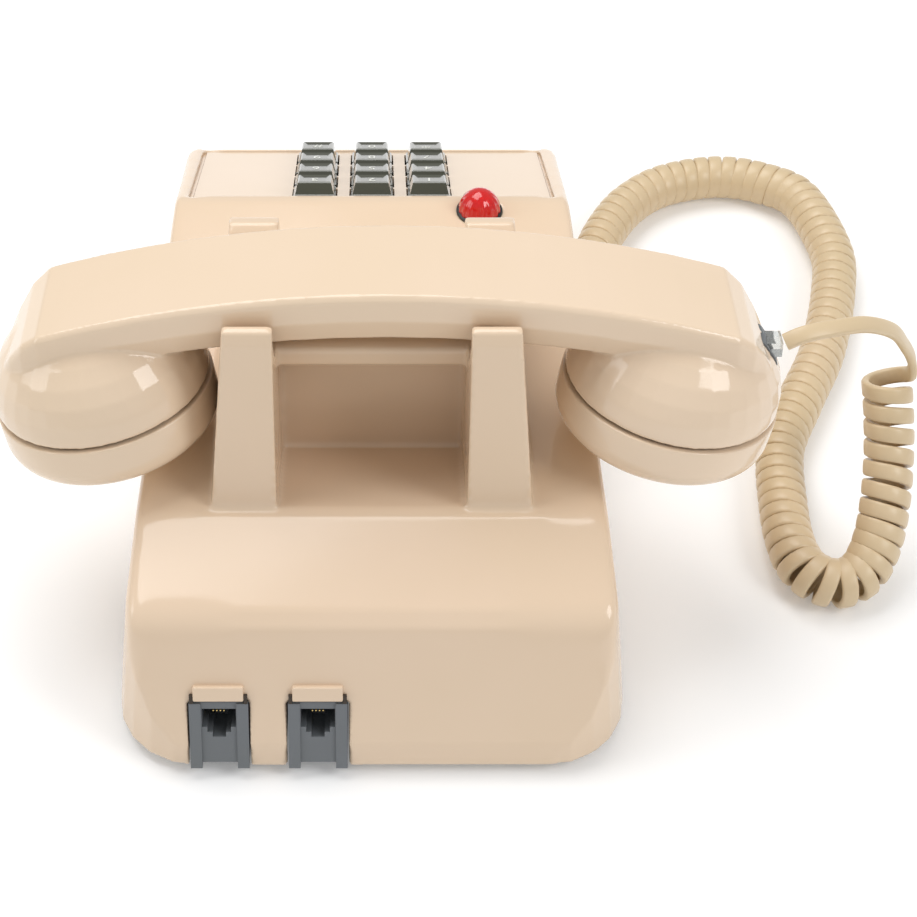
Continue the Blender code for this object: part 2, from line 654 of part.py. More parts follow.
def main():
    clear_scene()
    looks = {
        "beige": material("beige_plastic", BEIGE, 0.22),
        "tan": material("cord_plastic", TAN, 0.38),
        "key": material("key_plastic", KEY_GREEN, 0.30),
        "slate": material("slate_plastic", SLATE, 0.45),
        "black": material("black_plastic", (0.03, 0.03, 0.03), 0.45),
        "red": material("lamp_red", (0.62, 0.02, 0.02), 0.12),
        "clear": material("clear_plastic", (0.80, 0.82, 0.80), 0.12),
        "steel": material("zinc_steel", STEEL, 0.35, 1.0),
        "brass": material("gong_brass", BRASS, 0.28, 1.0),
        "copper": material("coil_copper", (0.60, 0.28, 0.12), 0.40, 1.0),
        "aluminium": material("capsule_aluminium", (0.70, 0.70, 0.70), 0.35, 1.0),
        "board": material("board_green", (0.07, 0.22, 0.10), 0.50),
        "rubber": material("foot_rubber", (0.05, 0.05, 0.05), 0.80),
    }
    base = empty("base_frame", (BASE_X, BASE_Y, 0))
    add_housing(base, looks["beige"])
    add_base(base, looks)
    add_keypad(base, looks)
    add_jacks(base, looks)
    add_lamp(base, looks)
    add_hook(base, looks)
    add_ringer(base, looks)
    add_wheel(base, looks)
    handset = add_handset(looks)
    add_cord(handset, looks)


main()
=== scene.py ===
"""Looks for the push-button desk telephone: smooth shells, a curly cord and moulded plastic.

Lengths are in millimetres and are scaled where a mesh is made. The rear of the telephone faces +Y.
"""

import json
import math

import bmesh
import bpy
import numpy as np
from mathutils import Matrix, Vector


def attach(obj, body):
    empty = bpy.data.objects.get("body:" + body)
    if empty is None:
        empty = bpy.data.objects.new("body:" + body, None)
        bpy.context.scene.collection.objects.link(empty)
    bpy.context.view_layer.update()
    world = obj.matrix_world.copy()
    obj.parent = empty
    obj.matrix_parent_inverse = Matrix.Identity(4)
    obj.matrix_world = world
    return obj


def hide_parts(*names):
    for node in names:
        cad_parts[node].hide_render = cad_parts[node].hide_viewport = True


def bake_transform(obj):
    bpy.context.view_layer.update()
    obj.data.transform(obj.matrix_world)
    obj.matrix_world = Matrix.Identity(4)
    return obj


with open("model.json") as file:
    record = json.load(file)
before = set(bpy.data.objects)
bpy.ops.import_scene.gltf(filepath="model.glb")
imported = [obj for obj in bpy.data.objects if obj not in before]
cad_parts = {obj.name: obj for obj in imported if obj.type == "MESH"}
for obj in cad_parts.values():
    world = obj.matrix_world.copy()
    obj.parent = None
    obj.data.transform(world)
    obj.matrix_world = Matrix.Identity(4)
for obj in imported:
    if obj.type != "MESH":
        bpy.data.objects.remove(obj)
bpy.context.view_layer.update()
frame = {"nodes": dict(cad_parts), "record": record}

MM = 0.001
NODES = frame["nodes"]

# Places shared with the design, in the frame
BASE = Vector((4.5, 3.85, 0.0))
HANDSET_PLACE, HANDSET_ROLL = Vector((0.0, 29.85, 121.3)), math.radians(8.0)
CUP_X, CUP_Z, CUP_RADIUS, CUP_TILT = 82.5, -43.3, 32.0, math.radians(10.6)
CAP_HEIGHT, CAP_CURL = 16.2, 8.5
FRONT_Y, FRONT_Z, RIDGE_Y, RIDGE_Z = -122.0, 47.2, -52.0, 79.8
FACE_SLOPE = math.atan2(RIDGE_Z - FRONT_Z, RIDGE_Y - FRONT_Y)
FACE_MIDDLE = BASE + Vector((0.0, (FRONT_Y + RIDGE_Y) / 2, (FRONT_Z + RIDGE_Z) / 2))
REAR_LEAN = math.atan2(16.0, 44.5)
REAR_Y, RIM_Z, JACK_Z = 113.5, 3.5, 11.0
JACK_MIDDLE_X, JACK_HALF_PITCH = 29.6, 14.15
COLUMN_PITCH, ROW_PITCH, FIRST_ROW = 18.5, 16.0, 25.4
PLATE_TOP, KEY_RISE = -1.9, 5.3
LEGEND_SINK, LEGEND_RISE = 0.45, 0.06
LAMP_X, LAMP_Y, LAMP_RADIUS, LAMP_RISE, LAMP_FOOT = -34.0, -46.0, 6.7, 7.4, 0.7
PLUNGER_X, PLUNGER_Y, HOLE_RADIUS = 35.5, 24.0, 4.3
GRIP_RADIUS = 345.0

# The handset cord: a flat strand wound into a coil
STRAND_WIDE, STRAND_THICK = 5.0, 2.6
COIL_RADIUS = 7.8 - STRAND_THICK / 2
HANGING_PITCH, LYING_PITCH = 6.5, 5.1
POINTS_A_TURN = 18
HANGING_LENGTH, HANGING_FADE = 52.0, 20.0  # where the wider turns end, and over what length
END_OF_TURN = 0.75  # the part of a turn that the coil makes beyond its whole ones
STRAND_SIDES = 14
LEAD_SPACING, BRIDGE_SPACING = 2.2, 1.8
BRIDGE = 1.3  # how far the strand keeps its direction at each end of its coil
FLOOR_GAP = 0.2


# ---------------------------------------------------------------- camera, stage and light


def add_camera():
    data = bpy.data.cameras.new("camera")
    data.sensor_width = 36.0
    data.lens = 88.2
    data.shift_x, data.shift_y = 0.0944, -0.0615
    camera = bpy.data.objects.new("camera", data)
    bpy.context.scene.collection.objects.link(camera)
    camera.location = (0.0045, 0.50905, 0.5329)
    camera.rotation_euler = (math.radians(45.7), 0.0, math.radians(180.0))
    bpy.context.scene.camera = camera
    bpy.context.scene.view_settings.view_transform = "Standard"


def add_light(name, place, target, size, power):
    data = bpy.data.lights.new(name, "AREA")
    data.shape = "RECTANGLE"
    data.size, data.size_y = size
    data.energy = power
    light = bpy.data.objects.new(name, data)
    bpy.context.scene.collection.objects.link(light)
    light.location = place
    light.rotation_euler = (Vector(target) - Vector(place)).to_track_quat("-Z", "Y").to_euler()


def add_stage():
    mesh = bpy.data.meshes.new("floor")
    reach = 4.0
    corners = [(-reach, -reach, 0), (reach, -reach, 0), (reach, reach, 0), (-reach, reach, 0)]
    mesh.from_pydata(corners, [], [(0, 1, 2, 3)])
    floor = bpy.data.objects.new("floor", mesh)
    bpy.context.scene.collection.objects.link(floor)
    look = bpy.data.materials.new("floor_white")
    look.use_nodes = True
    shader = look.node_tree.nodes["Principled BSDF"]
    shader.inputs["Base Color"].default_value = (0.86, 0.86, 0.86, 1.0)
    shader.inputs["Emission Color"].default_value = (1.0, 1.0, 1.0, 1.0)
    shader.inputs["Emission Strength"].default_value = 0.16
    shader.inputs["Roughness"].default_value = 0.85
    mesh.materials.append(look)
    world = bpy.data.worlds.new("studio")
    bpy.context.scene.world = world
    world.use_nodes = True
    background = world.node_tree.nodes["Background"]
    background.inputs["Color"].default_value = (1.0, 1.0, 1.0, 1.0)
    background.inputs["Strength"].default_value = 0.47
    middle = (0.0, 0.0, 0.05)
    add_light("top_softbox", (0.28, -0.45, 1.35), middle, (1.1, 1.0), 12.6)
    add_light("right_softbox", (-0.72, 0.40, 0.80), middle, (0.40, 0.50), 3.4)
    add_light("left_softbox", (0.95, 0.18, 0.58), middle, (0.40, 0.60), 2.0)


# ---------------------------------------------------------------- materials


def plastic(name, colour, roughness, shift=0.03, grain=900.0, bump=0.04, coat=0.0):
    """Moulded plastic: a little drift in colour and gloss, and a fine moulded texture."""
    look = bpy.data.materials.new(name)
    look.use_nodes = True
    nodes, links = look.node_tree.nodes, look.node_tree.links
    shader = nodes["Principled BSDF"]
    shader.inputs["Coat Weight"].default_value = coat
    place = nodes.new("ShaderNodeTexCoord")
    cloud = nodes.new("ShaderNodeTexNoise")
    cloud.inputs["Scale"].default_value = 14.0
    cloud.inputs["Detail"].default_value = 3.0
    links.new(place.outputs["Object"], cloud.inputs["Vector"])
    tones = nodes.new("ShaderNodeValToRGB")
    tones.color_ramp.elements[0].position = 0.35
    tones.color_ramp.elements[1].position = 0.70
    darker = [channel * (1.0 - shift) for channel in colour]
    darker[2] *= 1.0 - shift
    tones.color_ramp.elements[0].color = (*darker, 1.0)
    tones.color_ramp.elements[1].color = (*colour, 1.0)
    links.new(cloud.outputs["Fac"], tones.inputs["Fac"])
    links.new(tones.outputs["Color"], shader.inputs["Base Color"])
    smear = nodes.new("ShaderNodeTexNoise")
    smear.inputs["Scale"].default_value = 45.0
    smear.inputs["Detail"].default_value = 5.0
    links.new(place.outputs["Object"], smear.inputs["Vector"])
    gloss = nodes.new("ShaderNodeMapRange")
    gloss.inputs["To Min"].default_value = roughness * 0.85
    gloss.inputs["To Max"].default_value = roughness * 1.2
    links.new(smear.outputs["Fac"], gloss.inputs["Value"])
    links.new(gloss.outputs["Result"], shader.inputs["Roughness"])
    skin = nodes.new("ShaderNodeTexNoise")
    skin.inputs["Scale"].default_value = grain
    skin.inputs["Detail"].default_value = 2.0
    links.new(place.outputs["Object"], skin.inputs["Vector"])
    relief = nodes.new("ShaderNodeBump")
    relief.inputs["Strength"].default_value = bump
    relief.inputs["Distance"].default_value = 0.0002
    links.new(skin.outputs["Fac"], relief.inputs["Height"])
    links.new(relief.outputs["Normal"], shader.inputs["Normal"])
    return look


def metal(name, colour, roughness, streak=(900.0, 900.0, 40.0)):
    """Plated or drawn metal with fine streaks in its gloss."""
    look = plastic(name, colour, roughness, shift=0.08, grain=600.0, bump=0.05)
    nodes, links = look.node_tree.nodes, look.node_tree.links
    shader = nodes["Principled BSDF"]
    shader.inputs["Metallic"].default_value = 1.0
    place = next(n for n in nodes if n.type == "TEX_COORD")
    stretch = nodes.new("ShaderNodeMapping")
    stretch.inputs["Scale"].default_value = streak
    links.new(place.outputs["Object"], stretch.inputs["Vector"])
    drawn = nodes.new("ShaderNodeTexNoise")
    drawn.inputs["Scale"].default_value = 1.0
    links.new(stretch.outputs["Vector"], drawn.inputs["Vector"])
    gloss = next(n for n in nodes if n.type == "MAP_RANGE")
    links.new(drawn.outputs["Fac"], gloss.inputs["Value"])
    return look


def lamp_material():
    look = plastic("lamp_red_plastic", (0.86, 0.004, 0.004), 0.08, shift=0.12, bump=0.02)
    shader = look.node_tree.nodes["Principled BSDF"]
    shader.inputs["Transmission Weight"].default_value = 0.25
    shader.inputs["IOR"].default_value = 1.49
    shader.inputs["Coat Weight"].default_value = 0.6
    return look


def clear_material():
    look = plastic("clear_plastic", (0.86, 0.88, 0.87), 0.08, shift=0.02, bump=0.02)
    shader = look.node_tree.nodes["Principled BSDF"]
    shader.inputs["Transmission Weight"].default_value = 0.85
    shader.inputs["IOR"].default_value = 1.49
    return look


LOOKS = {
    "housing_plastic": plastic("housing_beige", (0.77, 0.60, 0.445), 0.12, bump=0.02),
    "handset_plastic": plastic("handset_beige", (0.795, 0.63, 0.475), 0.11, bump=0.02),
    "cord_plastic": plastic("cord_tan", (0.68, 0.53, 0.345), 0.33, shift=0.06, bump=0.05),
    "key_plastic": plastic("key_olive", (0.062, 0.064, 0.046), 0.16, shift=0.15, coat=0.7),
    "slate_plastic": plastic("jack_slate", (0.155, 0.168, 0.19), 0.42, shift=0.10, bump=0.12),
    "black_plastic": plastic("part_black", (0.022, 0.022, 0.024), 0.45, shift=0.2, bump=0.10),
    "plunger_plastic": plastic("plunger_clear", (0.70, 0.70, 0.66), 0.22, shift=0.05),
    "clear_plastic": clear_material(),
    "lamp_red": lamp_material(),
    "zinc_steel": metal("zinc_plate", (0.62, 0.61, 0.57), 0.34),
    "gong_brass": metal("gong_brass", (0.74, 0.55, 0.24), 0.26),
    "coil_copper": metal("coil_copper", (0.66, 0.32, 0.15), 0.38, (30.0, 900.0, 900.0)),
    "capsule_metal": metal("capsule_metal", (0.70, 0.70, 0.70), 0.36),
    "circuit_board": plastic("board_green", (0.05, 0.18, 0.08), 0.40, shift=0.25, bump=0.10),
    "foot_rubber": plastic("foot_rubber", (0.035, 0.034, 0.032), 0.75, shift=0.2, bump=0.2),
    # Near-black seam colour; beside the label tabs it is used as painted shadow.
    "seam": plastic("seam_shadow", (0.05, 0.035, 0.025), 0.6, shift=0.2),
    "gold": metal("contact_gold", (0.85, 0.62, 0.25), 0.22),
    "legend": plastic("legend_white", (0.80, 0.80, 0.76), 0.40),
}


# ---------------------------------------------------------------- making meshes


def piece(name, vertices, faces, look, body, slot=None, smooth=None, matrix=None):
    """A new object from millimetre points, riding on a body."""
    mesh = bpy.data.meshes.new(name)
    points = [Vector(v) for v in vertices]
    if matrix is not None:
        points = [matrix @ v for v in points]
    mesh.from_pydata([v * MM for v in points], [], faces)
    work = bmesh.new()
    work.from_mesh(mesh)
    bmesh.ops.recalc_face_normals(work, faces=work.faces)
    work.to_mesh(mesh)
    work.free()
    if smooth:
        mesh.shade_smooth()
        mesh.set_sharp_from_angle(angle=math.radians(smooth))
    made = bpy.data.objects.new(name, mesh)
    bpy.context.scene.collection.objects.link(made)
    mesh.materials.append(LOOKS[look])
    if body:
        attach(made, body)
    return made


def loft_faces(rings, count, caps=True):
    faces = []
    if caps:
        faces = [tuple(range(count)), tuple((rings - 1) * count + i for i in range(count))]
    for ring in range(rings - 1):
        for i in range(count):
            j = (i + 1) % count
            a, b = ring * count, (ring + 1) * count
            faces.append((a + i, a + j, b + j, b + i))
    return faces


def smoothed(points, ends, share, steps):
    """Laplacian smoothing that moves each point by its own share, where that is above zero."""
    moving = share > 0.0
    near = moving[ends[:, 0]] | moving[ends[:, 1]]
    a, b = ends[near].T
    count = len(points)
    valence = np.maximum(np.bincount(a, minlength=count) + np.bincount(b, minlength=count), 1)
    for _ in range(steps):
        for k in range(3):
            column = points[:, k]
            total = np.bincount(a, column[b], count) + np.bincount(b, column[a], count)
            column += share * (total / valence - column) * moving


def remeshed(source, name, voxel, passes):
    """A moulded look: a solid rebuilt in small even faces, then eased by (shares, steps) passes."""
    made = bpy.data.objects.new(name, source.data.copy())
    bpy.context.scene.collection.objects.link(made)
    made.data.materials.clear()
    step = made.modifiers.new("even", "REMESH")
    step.mode = "VOXEL"
    step.voxel_size = voxel * MM
    step.adaptivity = 0.0
    bpy.context.view_layer.update()
    graph = bpy.context.evaluated_depsgraph_get()
    mesh = bpy.data.meshes.new_from_object(made.evaluated_get(graph))
    made.modifiers.clear()
    made.data = mesh
    points = np.empty(len(mesh.vertices) * 3)
    mesh.vertices.foreach_get("co", points)
    points = points.reshape(-1, 3)
    ends = np.empty(len(mesh.edges) * 2, np.int64)
    mesh.edges.foreach_get("vertices", ends)
    ends = ends.reshape(-1, 2)
    for shares, steps in passes:
        smoothed(points, ends, shares(points / MM), steps)
    mesh.vertices.foreach_set("co", points.ravel())
    mesh.update()
    mesh.shade_smooth()
    return made


# ---------------------------------------------------------------- cord

UPPER_LEAD = (
    (-114.6, 33.9, 93.3), (-120, 33.0, 95.6), (-129.3, 29.7, 95.0), (-140.1, 23.6, 90.8),
    (-150.4, 17.0, 82.0), (-157.0, 11.6, 70.5), (-154.0, 6.0, 56.6),
)
COIL_ROUTE = (
    (-154.3, 7.2, 54.3), (-155.5, 13.9, 44.1), (-155.8, 21.7, 34.3), (-154.7, 31.3, 25.5),
    (-152.3, 40.6, 17.0), (-148.0, 47.8, 11.0), (-142, 51.2, 8.4), (-135.5, 50.5, 8),
    (-130, 45.5, 8), (-127.2, 36, 8), (-126.8, 20, 8), (-129.2, -6, 8), (-138.9, -29.5, 8),
    (-149.8, -54, 8), (-158.1, -85, 8), (-160.2, -107, 8), (-153.3, -135, 8), (-141, -145, 8),
    (-124, -149, 8), (-104, -144, 8), (-90, -133, 8), (-80.5, -118, 8), (-74.5, -103, 8),
)
LOWER_LEAD = (
    (-73.8, -101.2, 6.0), (-73, -92, 4.5), (-77, -83, 5.5), (-85, -77, 8.5), (-91.5, -70.5, 12.5),
    (-91.5, -62.5, 16.5), (-86, -58.2, 19.2), (-80, -57.2, 20.3), (-73.4, -57.15, 20.5),
)


def smooth_route(points, spacing):
    """Evenly spaced points along a Catmull-Rom curve through the route."""
    points = np.array(points, float)
    ends = np.vstack([2 * points[0] - points[1], points, 2 * points[-1] - points[-2]])
    t = np.linspace(0.0, 1.0, 24, endpoint=False)[:, None]
    fine = []
    for a, b, c, d in zip(ends, ends[1:], ends[2:], ends[3:]):
        fine.append(
            0.5 * (2 * b + (c - a) * t + (2 * a - 5 * b + 4 * c - d) * t**2
                   + (3 * b - a - 3 * c + d) * t**3)
        )
    fine = np.vstack([*fine, points[-1:]])
    length = np.concatenate([[0.0], np.cumsum(np.linalg.norm(np.diff(fine, axis=0), axis=1))])
    even = np.linspace(0.0, length[-1], max(3, round(length[-1] / spacing) + 1))
    return np.stack([np.interp(even, length, fine[:, k]) for k in range(3)], axis=1)


def unit(v):
    return v / np.maximum(np.linalg.norm(v, axis=-1, keepdims=True), 1e-12)


def carried_frame(route, start):
    """Tangents and two side directions along a route that turn no more than they must."""
    tangents = unit(np.gradient(route, axis=0))
    side = start - tangents[0] * (start @ tangents[0])
    sides = []
    for tangent in tangents:
        side = unit(side - tangent * (side @ tangent))
        sides.append(side)
    sides = np.array(sides)
    return tangents, sides, np.cross(tangents, sides)


def coil_points():
    """The strand's points and outward directions along the coil, and how many turns it has."""
    route = smooth_route(COIL_ROUTE, 0.25)
    tangents, sides, others = carried_frame(route, np.array([-1.0, 0.0, 0.0]))
    along = np.concatenate([[0.0], np.cumsum(np.linalg.norm(np.diff(route, axis=0), axis=1))])
    hanging = np.clip((HANGING_LENGTH - along) / HANGING_FADE, 0.0, 1.0)
    pitch = LYING_PITCH + (HANGING_PITCH - LYING_PITCH) * hanging
    turns = np.concatenate([[0.0], np.cumsum(np.diff(along) / pitch[1:])])
    whole = round(turns[-1]) + END_OF_TURN
    turns *= whole / turns[-1]
    at = np.linspace(0.0, whole, int(whole * POINTS_A_TURN))
    centre = np.stack([np.interp(at, turns, route[:, k]) for k in range(3)], axis=1)
    side = np.stack([np.interp(at, turns, sides[:, k]) for k in range(3)], axis=1)
    other = np.stack([np.interp(at, turns, others[:, k]) for k in range(3)], axis=1)
    axis = np.stack([np.interp(at, turns, tangents[:, k]) for k in range(3)], axis=1)
    angle = 2 * np.pi * at[:, None]
    outward = np.cos(angle) * side - np.sin(angle) * other
    return centre + COIL_RADIUS * outward, outward, axis


def bridged(before, start, end, after):
    """Points between two stretches of cord, on a curve that keeps both directions."""
    reach = np.linalg.norm(end - start)
    leaving, arriving = BRIDGE * reach * unit(start - before), BRIDGE * reach * unit(after - end)
    t = np.linspace(0.0, 1.0, round(reach / BRIDGE_SPACING) + 1)[1:-1, None]
    return (
        (2 * t**3 - 3 * t**2 + 1) * start + (t**3 - 2 * t**2 + t) * leaving
        + (3 * t**2 - 2 * t**3) * end + (t**3 - t**2) * arriving
    )


def cord_strand():
    """The whole strand from plug to plug, with the direction that its flat side faces."""
    coil, outward, axis = coil_points()
    first = smooth_route(UPPER_LEAD[:-1], LEAD_SPACING)
    first = np.vstack([first, bridged(first[-2], first[-1], coil[0], coil[1])])
    last = smooth_route(LOWER_LEAD[2:], LEAD_SPACING)
    last = np.vstack([bridged(coil[-2], coil[-1], last[0], last[1]), last])
    up = np.array([0.0, 0.45, 0.9])
    fade = np.linspace(0.0, 1.0, len(first))[:, None] ** 3
    facing_first = unit(up * (1 - fade) + outward[0] * fade)
    fade = np.linspace(1.0, 0.0, len(last))[:, None] ** 3
    facing_last = unit(np.array([0.0, 0.0, 1.0]) * (1 - fade) + outward[-1] * fade)
    points = np.vstack([first, coil, last])
    points[:, 2] = np.maximum(points[:, 2], STRAND_THICK / 2 + FLOOR_GAP)
    facing = np.vstack([facing_first, outward, facing_last])
    return points, facing


def add_cord():
    points, facing = cord_strand()
    tangents = unit(np.gradient(points, axis=0))
    facing = unit(facing - tangents * (facing * tangents).sum(axis=1, keepdims=True))
    across = np.cross(tangents, facing)
    angle = 2 * np.pi * (np.arange(STRAND_SIDES) + 0.5) / STRAND_SIDES
    wide = STRAND_WIDE / 2 * np.sign(np.cos(angle)) * np.abs(np.cos(angle)) ** 0.5
    thick = STRAND_THICK / 2 * np.sign(np.sin(angle)) * np.abs(np.sin(angle)) ** 0.5
    rings = (
        points[:, None, :]
        + across[:, None, :] * wide[None, :, None]
        + facing[:, None, :] * thick[None, :, None]
    )
    vertices = rings.reshape(-1, 3)
    faces = loft_faces(len(points), STRAND_SIDES)
    cord = piece("handset_cord", vertices, faces, "cord_plastic", None, "cord_plastic", smooth=50)
    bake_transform(cord)
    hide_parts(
        "cord_lead_upper", "cord_coil_hanging", "cord_coil_lying", "cord_lead_lower"
    )


# ---------------------------------------------------------------- shells


def ramp(value, low, high):
    return np.clip((value - low) / (high - low), 0.0, 1.0)


def housing_detail(points):
    """A light ease all over, and none beside the jacks and the plungers."""
    x, y, z = (points - np.array(BASE)).T
    share = np.full(len(points), 0.22)
    share[(np.abs(x - JACK_MIDDLE_X) < 27.0) & (y > 80.0) & (z < 28.0)] = 0.0
    share[(np.hypot(np.abs(x) - PLUNGER_X, y - PLUNGER_Y) < 6.0) & (z > 85.0)] = 0.0
    return share


def housing_rounds(points):
    """The rounded edges: wide down both sides behind the cradle, slight over the rear shoulder."""
    x, y, z = (points - np.array(BASE)).T
    shoulder = ramp(y, 74.0, 84.0) * ramp(z, 30.0, 36.0)
    corners = ramp(np.abs(x), 38.0, 48.0) * ramp(y, 84.0, 90.0)
    sides = ramp(np.abs(x), 49.0, 54.0) * ramp(y, -4.0, 6.0) * ramp(z, 30.0, 40.0)
    edge_rows = ramp(np.abs(x), 52.0, 56.0) * ramp(z, 30.0, 36.0)
    share = 0.55 * np.maximum(np.maximum(0.02 * shoulder, sides), 0.35 * edge_rows)
    share = np.maximum(share, 0.5 * corners * ramp(z, 30.0, 38.0))
    return share


def clear_plunger_holes(mesh):
    """Widens the two plunger holes in the even mesh to HOLE_RADIUS."""
    for vertex in mesh.vertices:
        x, y, z = vertex.co / MM - BASE
        middle = math.copysign(PLUNGER_X, x)
        away = math.hypot(x - middle, y - PLUNGER_Y)
        if z > 85.0 and 2.0 < away < HOLE_RADIUS:
            vertex.co.x += (x - middle) * (HOLE_RADIUS / away - 1.0) * MM
            vertex.co.y += (y - PLUNGER_Y) * (HOLE_RADIUS / away - 1.0) * MM


def add_housing():
    passes = [(housing_detail, 3), (housing_rounds, 50)]
    housing = remeshed(NODES["housing"], "housing_shell", 0.8, passes)
    clear_plunger_holes(housing.data)
    housing.data.materials.append(LOOKS["housing_plastic"])
    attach(housing, "base")
    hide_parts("housing")


def handset_axes():
    return Matrix.Translation(HANDSET_PLACE) @ Matrix.Rotation(HANDSET_ROLL, 4, "X")


def below_grip(points):
    """How far under the grip's curved line a point of the handset is."""
    back = np.array(handset_axes().inverted())
    x, _, z = (points @ back[:3, :3].T + back[:3, 3]).T
    return -(GRIP_RADIUS - np.sqrt(GRIP_RADIUS**2 - x**2)) - z


def handset_detail(points):
    return np.full(len(points), 0.22)


def handset_rounds(points):
    return 0.5 * ramp(below_grip(points), 24.0, 30.0)


def add_handset():
    passes = [(handset_detail, 4), (handset_rounds, 40)]
    shell = remeshed(NODES["handset_shell"], "handset_body", 0.6, passes)
    shell.data.materials.append(LOOKS["handset_plastic"])
    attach(shell, "handset")
    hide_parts("handset_shell")


def turned(profile, sides):
    """A profile of (radius, z) turned about z; a radius of 0 closes it on the axis."""
    vertices, faces, rings = [], [], []
    for radius, z in profile:
        count = 1 if radius == 0 else sides
        rings.append(list(range(len(vertices), len(vertices) + count)))
        for i in range(count):
            angle = 2 * math.pi * i / count
            vertices.append((radius * math.cos(angle), radius * math.sin(angle), z))
    for a, b in zip(rings, rings[1:]):
        for i in range(sides):
            j = (i + 1) % sides
            face = [a[i % len(a)], a[j % len(a)], b[j % len(b)], b[i % len(b)]]
            face = tuple(dict.fromkeys(face))
            if len(face) > 2:
                faces.append(face)
    return vertices, faces


def arc(centre, radius, start, end, steps):
    """Points of (radius, z) on an arc, from one angle in degrees to another."""
    points = []
    for i in range(steps + 1):
        angle = math.radians(start + (end - start) * i / steps)
        points.append((centre[0] + radius * math.cos(angle), centre[1] + radius * math.sin(angle)))
    return points


def add_cap(node, side):
    """A screw-on cap: a fine groove where it meets the cup, and rings of sound holes."""
    outer, bottom = CUP_RADIUS + 0.2, -CAP_HEIGHT
    profile = [(outer - 3.0, -0.35), (outer - 0.8, -0.35)]
    profile += arc((outer - 0.5, -0.85), 0.5, 90, 0, 3)
    profile += [(outer, -5.0)]
    profile += arc((outer - CAP_CURL, CAP_CURL - CAP_HEIGHT), CAP_CURL, 0, -78, 14)
    profile += [(16.0, bottom + 0.5), (0, bottom + 1.2)]
    profile += [(0, bottom + 3.4), (outer - 9.0, bottom + 3.0), (outer - 3.0, -11.0)]
    profile += [(outer - 3.0, -0.35)]
    vertices, faces = turned(profile, 128)
    place = Matrix.Translation((side * CUP_X, 0, CUP_Z)) @ Matrix.Rotation(side * CUP_TILT, 4, "Y")
    look = "handset_plastic"
    cap = piece(f"{node}_shell", vertices, faces, look, None, look, 32, handset_axes() @ place)
    weld = cap.modifiers.new("weld", "WELD")
    weld.merge_threshold = 0.00001
    sound_holes(cap, handset_axes() @ place, node == "receiver_cap")
    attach(cap, "handset")
    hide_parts(node)


def sound_holes(cap, matrix, few):
    """Small round holes through the cap's flat face, in rings."""
    rings = ((0.0, 1), (5.0, 6), (10.0, 12), (15.0, 18))
    if few:
        rings = ((0.0, 1), (4.4, 6), (8.6, 12))
    vertices, faces = [], []
    for radius, count in rings:
        for i in range(count):
            angle = 2 * math.pi * i / count
            x, y = radius * math.cos(angle), radius * math.sin(angle)
            pin, sides = turned([(0, -30.0), (1.05, -30.0), (1.05, -9.0), (0, -9.0)], 14)
            start = len(vertices)
            vertices += [(a + x, b + y, c) for a, b, c in pin]
            faces += [tuple(start + index for index in face) for face in sides]
    cutter = piece(f"{cap.name}_drill", vertices, faces, "seam", None, None, None, matrix)
    step = cap.modifiers.new("drill", "BOOLEAN")
    step.operation, step.object = "DIFFERENCE", cutter
    step.solver = "EXACT"
    settle(cap)
    bpy.data.objects.remove(cutter)


def settle(made):
    """Applies the modifiers to the mesh itself."""
    bpy.context.view_layer.update()
    graph = bpy.context.evaluated_depsgraph_get()
    mesh = bpy.data.meshes.new_from_object(made.evaluated_get(graph))
    made.modifiers.clear()
    made.data = mesh
    mesh.shade_smooth()
    mesh.set_sharp_from_angle(angle=math.radians(32))


# ---------------------------------------------------------------- lamp, keys, jacks, labels


def add_lamp():
    """A red dome with shallow flutes, over a dark ring."""
    sides, rings = 96, 14
    vertices = [(0, 0, LAMP_FOOT + LAMP_RISE)]
    for ring in range(1, rings + 1):
        angle = math.radians(90 - 90 * ring / rings)
        for i in range(sides):
            turn = 2 * math.pi * i / sides
            flute = 1 - 0.022 * (1 + math.cos(16 * turn)) * math.cos(angle)
            radius = LAMP_RADIUS * math.cos(angle) * flute
            height = LAMP_FOOT + LAMP_RISE * math.sin(angle)
            vertices.append((radius * math.cos(turn), radius * math.sin(turn), height))
    faces = [(0, 1 + i, 1 + (i + 1) % sides) for i in range(sides)]
    for ring in range(rings - 1):
        for i in range(sides):
            j = (i + 1) % sides
            a, b = 1 + ring * sides, 1 + (ring + 1) * sides
            faces.append((a + i, a + j, b + j, b + i))
    faces.append(tuple(1 + (rings - 1) * sides + i for i in range(sides)))
    place = Matrix.Translation(BASE + Vector((LAMP_X, LAMP_Y, RIDGE_Z - 0.4)))
    lens = piece("lamp_dome", vertices, faces, "lamp_red", "base", "lamp_red", 60, place)
    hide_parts("message_lamp_lens")
    ring = [(5.4, 0.2), (5.4, 0.9), (6.9, 0.9), (7.3, 0.6), (7.3, 0.15), (5.4, 0.2)]
    vertices, faces = turned(ring, 64)
    piece("lamp_ring", vertices, faces, "black_plastic", "base", "black_plastic", 40, place)


def add_legend(name, text, size, matrix, body):
    """Moulded-in lettering as a thin mesh."""
    data = bpy.data.curves.new(name, "FONT")
    data.body = text
    data.size = size * MM
    data.align_x = data.align_y = "CENTER"
    data.extrude = LEGEND_RISE * MM
    letters = bpy.data.objects.new(name + "_text", data)
    bpy.context.scene.collection.objects.link(letters)
    bpy.context.view_layer.update()
    graph = bpy.context.evaluated_depsgraph_get()
    mesh = bpy.data.meshes.new_from_object(letters.evaluated_get(graph))
    bpy.data.objects.remove(letters)
    mesh.transform(matrix)
    made = bpy.data.objects.new(name, mesh)
    bpy.context.scene.collection.objects.link(made)
    mesh.materials.clear()
    mesh.materials.append(LOOKS["legend"])
    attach(made, body)


